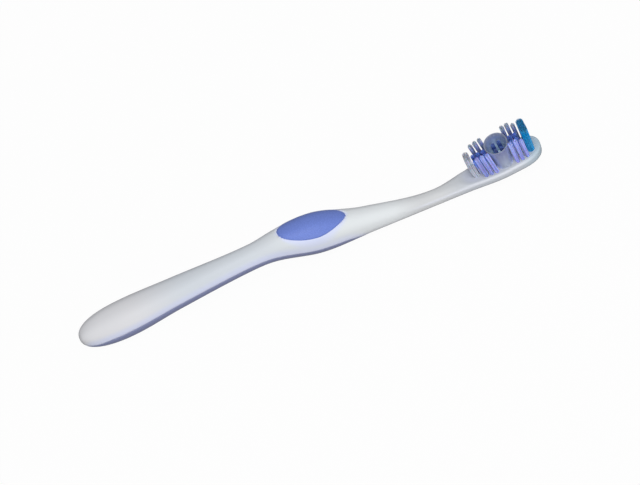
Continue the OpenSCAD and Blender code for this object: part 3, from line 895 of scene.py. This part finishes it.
def makeClearSoft():
    material, tree = newMaterial("milkyElastomer")
    rise = markOf(tree, "rise")
    # painted light inside, lighter deep down
    inside = mixColors(tree, rampOf(tree, rise, *milk["highFrom"]),
                       milk["deepInside"], milk["highInside"])
    inside = mixColors(tree, rampOf(tree, rise, *milk["lipInside"]), inside, milk["lip"])
    outside = mixColors(tree, rise, milk["foot"], milk["rim"])
    # painted reflection of the tufts on the flanks
    outside = mixColors(tree, markOf(tree, "flank"), outside, milk["flank"])
    wall = mixColors(tree, markOf(tree, "outside"), inside, outside)
    wall = mixColors(tree, rampOf(tree, rise, *milk["lipTop"]), wall, milk["lip"])
    moulded = addGroup(tree, mouldedGroup, {
        "Color": wall, "Drift": 0.15, "Flow Scale": 300, "Grain Scale": 6000,
        "Roughness": 0.3})
    finishShader(tree, {
        "Base Color": moulded["Color"], "Roughness": moulded["Roughness"], "IOR": 1.3,
        "Normal": bumpOf(tree, moulded["Height"], strength=0.08, distance=0.03 * mm),
        "Transmission Weight": 0.15, "Subsurface Weight": 0.4,
        "Subsurface Radius": (1, 1, 1), "Subsurface Scale": 1 * mm})
    return material


nylon = {
    "shaftFrom": (0.4, 0.8),  # shares of the length where a colour sets in
    "tipFrom": (0.86, 1),
    "tones": (0.62, 1.3),     # darkest and lightest filament
}
nylonLooks = {
    "outer": {
        "name": "lavenderNylon", "slot": "lavender_nylon", "clear": 0.12,
        "root": (0.36, 0.40, 0.90, 1), "shaft": (0.43, 0.49, 1.0, 1),
        "tip": (0.46, 0.53, 0.98, 1)},
    # painted shade: a darker, greyer copy of the lavender nylon for the far row of outer tufts
    "outerFar": {
        "name": "shadedLavenderNylon", "slot": "lavender_nylon", "clear": 0.3,
        "root": (0.33, 0.42, 0.82, 1), "shaft": (0.40, 0.49, 0.82, 1),
        "tip": (0.51, 0.58, 0.67, 1)},
    "inner": {
        "name": "navyNylon", "slot": "navy_nylon", "clear": 0.1,
        "root": (0.42, 0.47, 0.74, 1), "shaft": (0.15, 0.27, 0.82, 1),
        "tip": (0.20, 0.34, 0.84, 1)},
    # painted shade: a darker copy of the navy nylon for the tufts inside the cup
    "cup": {
        "name": "shadedNavyNylon", "slot": "navy_nylon", "clear": 0.1,
        "root": (0.20, 0.28, 0.70, 1), "shaft": (0.07, 0.14, 0.52, 1),
        "tip": (0.15, 0.23, 0.58, 1)},
    "heel": {
        "name": "whiteNylon", "slot": "white_nylon", "clear": 0.1,
        "root": (0.76, 0.80, 0.92, 1), "shaft": (0.62, 0.66, 0.80, 1),
        "tip": (0.56, 0.59, 0.66, 1)},
    "toe": {
        "name": "blueNylon", "slot": "blue_nylon", "clear": 0.06,
        "root": (0.04, 0.34, 0.70, 1), "shaft": (0.0, 0.29, 0.66, 1),
        "tip": (0.05, 0.30, 0.56, 1)},
}


def makeNylon(look):
    material, tree = newMaterial(look["name"])
    along = markOf(tree, "along")
    base = mixColors(tree, rampOf(tree, along, *nylon["shaftFrom"]), look["root"], look["shaft"])
    base = mixColors(tree, rampOf(tree, along, *nylon["tipFrom"]), base, look["tip"])
    tone = addNode(tree, "ShaderNodeMapRange", {
        "Value": markOf(tree, "tone"), "To Min": nylon["tones"][0], "To Max": nylon["tones"][1]})
    finishShader(tree, {
        "Base Color": scaleColor(tree, base, tone.outputs["Result"]), "Roughness": 0.4,
        "Transmission Weight": look["clear"], "IOR": 1.36,
        "Subsurface Weight": 0.2, "Subsurface Scale": 0.3 * mm})
    return material


brass = {
    "color": (0.72, 0.50, 0.20, 1),
    "roughness": 0.35,
}


def makeBrass():
    material, tree = newMaterial("anchorBrass")
    moulded = addGroup(tree, mouldedGroup, {
        "Color": brass["color"], "Drift": 0.2, "Flow Scale": 900, "Grain Scale": 8000,
        "Roughness": brass["roughness"]})
    finishShader(tree, {
        "Base Color": moulded["Color"], "Roughness": moulded["Roughness"], "Metallic": 1})
    return material


# Pieces

bodyPiece = makeBody()
smoothPiece(bodyPiece)
toPiece(bodyPiece, makePearl(), "pearl_plastic", "handle_body")
print("handle body:", len(bodyPiece.data.polygons), "faces")

padPiece = makePad()
smoothPiece(padPiece)
toPiece(padPiece, makeSoftGrip("padElastomer", softGrip["pad"]), "violet_elastomer", "thumb_pad")
gripPiece = makeBackGrip()
smoothPiece(gripPiece)
# the back grip takes the painted-shade copy of the pad's elastomer
toPiece(gripPiece, makeSoftGrip("shadedGripElastomer", softGrip["back"]),
        "violet_elastomer", "back_grip")
print("grips laid on the handle")

cupPiece = makeCup()
smoothPiece(cupPiece)
toPiece(cupPiece, makeClearSoft(), "clear_elastomer", "polishing_cup")
print("cup set in the head")

nylons = {kind: makeNylon(look) for kind, look in nylonLooks.items()}
sourceFilament = makeFilament()
for node in sorted(frame["nodes"]):
    if not node.startswith("tuft_") or node == "tuft_anchors":
        continue
    kind = node.split("_")[1]
    # the far row of outer tufts takes the painted-shade copy of the lavender nylon
    if kind == "outer" and "_far_" in node:
        kind = "outerFar"
    toPiece(makeTuft(node, sourceFilament), nylons[kind], nylonLooks[kind]["slot"], node)
bpy.data.objects.remove(sourceFilament)
print("tufts planted")

anchors = frame["nodes"]["tuft_anchors"]
anchors.data.materials.clear()
anchors.data.materials.append(makeBrass())


# Floor, light and camera

studio = {
    "floorWidth": 4.0,
    "floorPaint": (0.45, 0.45, 0.45, 1),
    "floorWhite": 0.97,       # what the camera sees of the floor as plain white
    "top": {"place": (0.05, -0.36, 1.04), "size": 0.47, "watts": 5.7},
    "front": {"place": (0.05, -1.03, 0.38), "size": 0.54, "watts": 5.2},
    "skyColor": (0.97, 0.98, 1, 1),
    "sky": 0.59,
}
white = (1, 1, 1, 1)


def makeFloor():
    bpy.ops.mesh.primitive_plane_add(size=studio["floorWidth"])
    floor = namePiece(bpy.context.object, "floor")
    material, tree = newMaterial("paleFloor")
    rays = addNode(tree, "ShaderNodeLightPath").outputs
    seen = rays["Is Camera Ray"]
    for ray in ("Is Glossy Ray", "Is Transmission Ray"):
        seen = addNode(tree, "ShaderNodeMath", {
            0: seen, 1: rays[ray]}, operation="MAXIMUM").outputs[0]
    share = addNode(tree, "ShaderNodeMath", {
        0: seen, 1: studio["floorWhite"]}, operation="MULTIPLY")
    paint = addNode(tree, "ShaderNodeBsdfDiffuse", {"Color": studio["floorPaint"]})
    glow = addNode(tree, "ShaderNodeEmission", {"Color": white, "Strength": 1})
    mix = addNode(tree, "ShaderNodeMixShader", {
        0: share.outputs[0], 1: paint.outputs["BSDF"], 2: glow.outputs["Emission"]})
    addNode(tree, "ShaderNodeOutputMaterial", {"Surface": mix.outputs["Shader"]})
    floor.data.materials.append(material)


def makeLamp(name, place, size, watts):  # faces the middle of the brush
    bpy.ops.object.light_add(type="AREA", location=place)
    lamp = bpy.context.object
    lamp.name = name
    lamp.data.shape = "DISK"
    lamp.data.size = size
    lamp.data.energy = watts
    lamp.rotation_euler = Vector(place).to_track_quat("Z", "Y").to_euler()


def makeWorld():
    world = bpy.data.worlds.new("studio")
    bpy.context.scene.world = world
    world.use_nodes = True
    tree = world.node_tree
    tree.nodes.clear()
    rays = addNode(tree, "ShaderNodeLightPath")
    sky = addNode(tree, "ShaderNodeBackground", {
        "Color": studio["skyColor"], "Strength": studio["sky"]})
    plain = addNode(tree, "ShaderNodeBackground", {"Color": white, "Strength": 1})
    mix = addNode(tree, "ShaderNodeMixShader", {
        0: rays.outputs["Is Camera Ray"], 1: sky.outputs["Background"],
        2: plain.outputs["Background"]})
    addNode(tree, "ShaderNodeOutputWorld", {"Surface": mix.outputs["Shader"]})


camera = {
    "azimuth": -6,
    "elevation": 45,
    "roll": 18.1,
    "aside": 3.3 * mm,        # the picture's centre, from the brush's middle
    "above": 2.8 * mm,
    "width": 243 * mm,        # what the picture takes in
    "lens": 400,
    "sensor": 36,
    "farthest": 20,
}


def makeCamera():
    azimuth, elevation = math.radians(camera["azimuth"]), math.radians(camera["elevation"])
    back = Vector((math.sin(azimuth) * math.cos(elevation),
                   -math.cos(azimuth) * math.cos(elevation), math.sin(elevation)))
    right = Vector((math.cos(azimuth), math.sin(azimuth), 0))
    up = back.cross(right)
    target = right * camera["aside"] + up * camera["above"]
    roll = Matrix.Rotation(-math.radians(camera["roll"]), 3, back)
    turn = Matrix((roll @ right, roll @ up, back)).transposed().to_4x4()
    distance = camera["width"] * camera["lens"] / camera["sensor"]
    bpy.ops.object.camera_add()
    eye = bpy.context.object
    eye.name = "photoCamera"
    eye.data.lens = camera["lens"]
    eye.data.sensor_width = camera["sensor"]
    eye.data.clip_end = camera["farthest"]
    eye.matrix_world = Matrix.Translation(target + back * distance) @ turn
    bpy.context.scene.camera = eye


makeFloor()
makeWorld()
for name in ("top", "front"):
    makeLamp(name, **studio[name])
makeCamera()
bpy.context.scene.view_settings.view_transform = "Standard"
print("floor, light and camera set")
